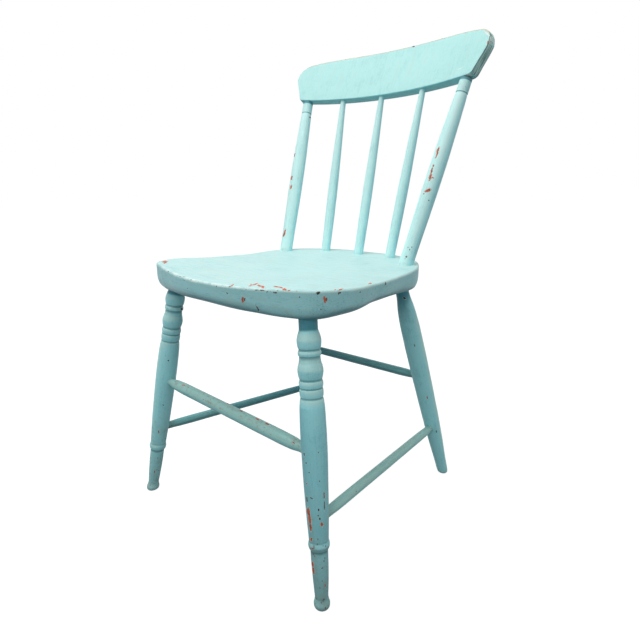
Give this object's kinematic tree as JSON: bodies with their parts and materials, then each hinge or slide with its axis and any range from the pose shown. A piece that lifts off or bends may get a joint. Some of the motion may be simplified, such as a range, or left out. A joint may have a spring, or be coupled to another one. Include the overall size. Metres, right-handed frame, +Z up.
{
  "type": "kitchen chair",
  "caption": "Old painted wooden kitchen chair with a saddled plank seat, turned splayed legs, spindle back and bent crest rail; worn, chipped paint.",
  "frame": {"origin": "bottom centre of the bounding box, on the floor between the feet", "axes": "+Z up, -Y the way a sitter faces, +X the sitter's left (the viewer's right from the front)"},
  "size_m": [0.4544, 0.4836, 0.8244],
  "materials": {
    "seat_paint": "satin aqua paint over red undercoat, chipped along the edges",
    "leg_paint": "satin aqua paint, chipped and dirty towards the feet",
    "stretcher_paint": "satin aqua paint, dirty and rubbed",
    "back_paint": "satin aqua paint, chipped",
    "crest_paint": "satin aqua paint, worn along the top edge, grey end grain"
  },
  "bodies": {
    "root": {"seat": "seat_paint", "front_leg_left": "leg_paint", "front_leg_right": "leg_paint", "back_leg_left": "leg_paint", "back_leg_right": "leg_paint", "front_stretcher": "stretcher_paint", "rear_stretcher": "stretcher_paint", "side_stretcher_left": "stretcher_paint", "side_stretcher_right": "stretcher_paint", "back_post_left": "back_paint", "back_post_right": "back_paint", "spindle_left": "back_paint", "spindle_middle": "back_paint", "spindle_right": "back_paint", "crest_rail": "crest_paint"}
  },
  "joints": []
}
